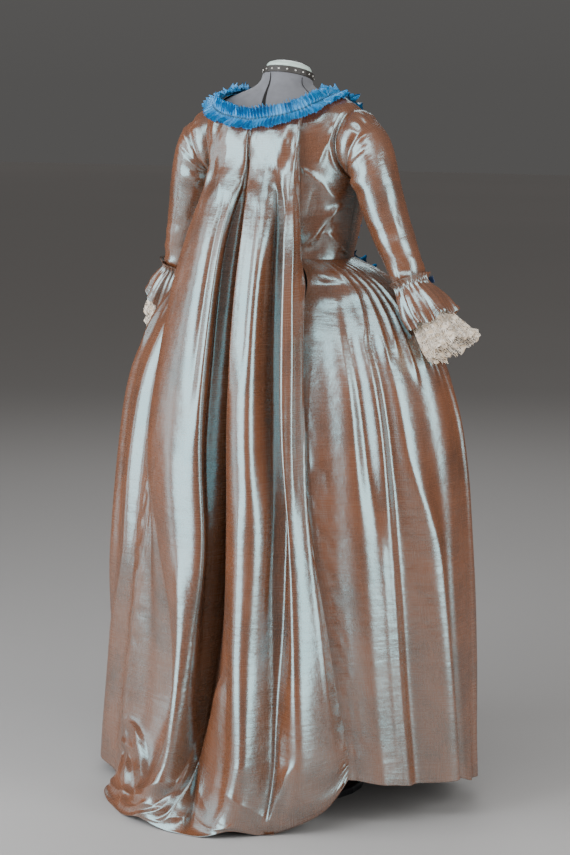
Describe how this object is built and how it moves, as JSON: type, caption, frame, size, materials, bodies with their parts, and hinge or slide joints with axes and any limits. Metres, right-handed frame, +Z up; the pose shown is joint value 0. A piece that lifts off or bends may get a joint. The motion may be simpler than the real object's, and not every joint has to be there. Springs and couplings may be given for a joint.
{
  "type": "afternoon dress on a limbless dress form",
  "caption": "Full-length sack-back afternoon dress with box pleats, short train, elbow flounces and ruffled neck, worn by a limbless dress form on a flat stand.",
  "frame": {"origin": "on the floor, at the centre of the stand's flat underside", "axes": "+Z up, the gown's front faces -Y and its train runs to +Y, the wearer's left is +X"},
  "size_m": [0.8994, 0.7498, 1.5659],
  "materials": {
    "shot_taffeta": "crisp silk taffeta, copper shot with pale blue",
    "blue_silk_ruffle": "gathered blue silk",
    "cream_lace": "fine net lace",
    "navy_ribbon": "silk ribbon",
    "grey_jersey": "matt knit over padding",
    "dark_neck_band": "dark, with pale rivets",
    "mint_neck_cap": "pale mint paint",
    "steel_pole": "plain tube",
    "black_iron_base": "black enamel"
  },
  "bodies": {
    "root": {"form_torso": "grey_jersey", "form_neck_band": "dark_neck_band", "form_neck_cap": "mint_neck_cap", "stand_pole": "steel_pole", "stand_base": "black_iron_base", "sack_back_left": "shot_taffeta", "sack_back_right": "shot_taffeta", "bodice_side_left": "shot_taffeta", "bodice_side_right": "shot_taffeta", "bodice_front_left": "shot_taffeta", "bodice_front_right": "shot_taffeta", "skirt_side_left": "shot_taffeta", "skirt_side_right": "shot_taffeta", "skirt_front": "shot_taffeta", "sleeve_left": "shot_taffeta", "sleeve_right": "shot_taffeta", "flounce_left": "shot_taffeta", "flounce_right": "shot_taffeta", "lace_cuff_left": "cream_lace", "lace_cuff_right": "cream_lace", "front_ruffle_left": "blue_silk_ruffle", "front_ruffle_right": "blue_silk_ruffle", "cuff_bow_left": "navy_ribbon", "cuff_bow_right": "navy_ribbon", "neck_ruffle": "blue_silk_ruffle"}
  },
  "joints": []
}
